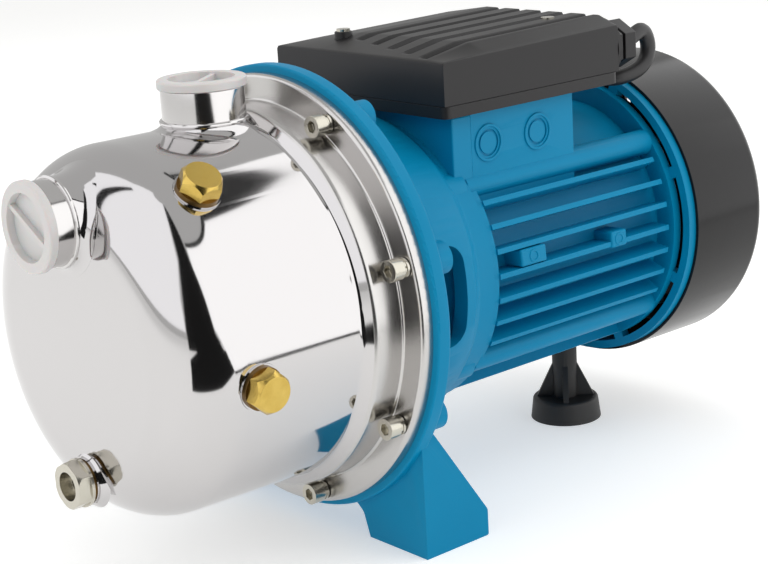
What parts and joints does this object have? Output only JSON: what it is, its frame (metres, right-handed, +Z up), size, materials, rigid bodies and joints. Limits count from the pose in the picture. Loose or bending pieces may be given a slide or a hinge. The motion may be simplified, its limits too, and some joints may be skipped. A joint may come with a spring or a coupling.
{
  "type": "self-priming water pump",
  "caption": "Self-priming jet water pump: domed stainless casing with threaded ports, finned motor, terminal box, bracket feet and mains cord.",
  "frame": {"origin": "on the floor, midway between the bolt holes of the two front feet", "axes": "+X along the shaft from the casing to the fan cover, +Z up, -Y the side with the gauge plug"},
  "size_m": [0.3952, 0.3444, 0.2268],
  "materials": {
    "stainless": "polished drawn sheet",
    "brass": "turned brass",
    "sealing_washer": "soft washer",
    "plated_steel": "zinc plated",
    "white_cap": "moulded polyethylene",
    "blue_paint": "satin blue paint on cast aluminium",
    "black_plastic": "semi-gloss moulded plastic",
    "black_rubber": "moulded rubber",
    "cord_rubber": "extruded rubber sheath",
    "plated_pin": "nickel plated",
    "pump_plastic": "glass-filled moulding",
    "seal_ceramic": "ground ceramic",
    "seal_carbon": "lapped carbon",
    "machined_steel": "ground",
    "lamination": "stacked sheet",
    "bare_aluminium": "die cast",
    "enamelled_wire": "enamelled copper",
    "fan_plastic": "moulded"
  },
  "bodies": {
    "pump": {"pump_casing": "stainless", "suction_socket": "stainless", "discharge_socket": "stainless", "drain_boss": "stainless", "seal_plate": "stainless", "plug_bosses": "stainless", "flange_bolts": "plated_steel", "flange_washers": "plated_steel", "tie_rods": "plated_steel", "lid_screws": "plated_steel", "foot_stud": "plated_steel", "bracket": "blue_paint", "motor_housing": "blue_paint", "rear_end_shield": "blue_paint", "fan_cover": "black_plastic", "terminal_base": "black_plastic", "terminal_lid": "black_plastic", "gland_body": "black_plastic", "gland_nut": "black_plastic", "rear_foot": "black_rubber", "casing_gasket": "black_rubber", "seal_cup": "black_rubber", "terminal_gasket": "black_rubber", "plug": "black_rubber", "power_cord": "cord_rubber", "cord_coil": "cord_rubber", "plug_pins": "plated_pin", "ejector_body": "pump_plastic", "ejector_nozzle": "pump_plastic", "diffuser": "pump_plastic", "seal_seat": "seal_ceramic", "front_bearing_outer": "machined_steel", "rear_bearing_outer": "machined_steel", "stator_core": "lamination", "capacitor": "bare_aluminium", "stator_windings": "enamelled_wire", "terminal_block": "fan_plastic"},
    "rotor": {"shaft": "machined_steel", "impeller": "pump_plastic", "impeller_nut": "plated_steel", "seal_face": "seal_carbon", "seal_spring": "machined_steel", "water_slinger": "black_rubber", "front_bearing_inner": "machined_steel", "rear_bearing_inner": "machined_steel", "rotor_core": "lamination", "rotor_end_rings": "bare_aluminium", "cooling_fan": "fan_plastic", "fan_clip": "plated_steel"},
    "suction_cap": {"suction_cap": "white_cap"},
    "discharge_cap": {"discharge_cap": "white_cap"},
    "priming_washer": {"priming_washer": "sealing_washer"},
    "priming_plug": {"priming_plug": "brass"},
    "gauge_washer": {"gauge_washer": "sealing_washer"},
    "gauge_plug": {"gauge_plug": "brass"},
    "drain_washer": {"drain_washer": "sealing_washer"},
    "drain_plug": {"drain_plug": "plated_steel"}
  },
  "joints": [
    {"name": "rotor_spin", "type": "hinge", "parent": "pump", "child": "rotor", "pos_m": [-0.022, 0, 0.115], "axis": [1, 0, 0], "continuous": true},
    {"name": "suction_cap_pull", "type": "slide", "parent": "pump", "child": "suction_cap", "axis": [-1, 0, 0], "range_m": [0, 0.04]},
    {"name": "discharge_cap_pull", "type": "slide", "parent": "pump", "child": "discharge_cap", "axis": [0, 0, 1], "range_m": [0, 0.04]},
    {"name": "priming_plug_lift", "type": "slide", "parent": "pump", "child": "priming_washer", "axis": [0, -0.5878, 0.809], "range_m": [0, 0.01203]},
    {"name": "priming_plug_turn", "type": "hinge", "parent": "priming_washer", "child": "priming_plug", "pos_m": [-0.102, -0.05014, 0.18401], "axis": [0, -0.5878, 0.809], "range_deg": [0, 3240]},
    {"name": "gauge_plug_lift", "type": "slide", "parent": "pump", "child": "gauge_washer", "axis": [0, -0.9925, -0.1219], "range_m": [0, 0.01203]},
    {"name": "gauge_plug_turn", "type": "hinge", "parent": "gauge_washer", "child": "gauge_plug", "pos_m": [-0.102, -0.08466, 0.10461], "axis": [0, -0.9925, -0.1219], "range_deg": [0, 3240]},
    {"name": "drain_plug_lift", "type": "slide", "parent": "pump", "child": "drain_washer", "axis": [-1, 0, 0], "range_m": [0, 0.01203]},
    {"name": "drain_plug_turn", "type": "hinge", "parent": "drain_washer", "child": "drain_plug", "pos_m": [-0.1405, 0, 0.053], "axis": [-1, 0, 0], "range_deg": [0, 3240]}
  ],
  "couplings": [
    {"joint": "priming_plug_turn", "follows": "priming_plug_lift", "rad_per_m": 4699.5},
    {"joint": "gauge_plug_turn", "follows": "gauge_plug_lift", "rad_per_m": 4699.5},
    {"joint": "drain_plug_turn", "follows": "drain_plug_lift", "rad_per_m": 4699.5}
  ]
}
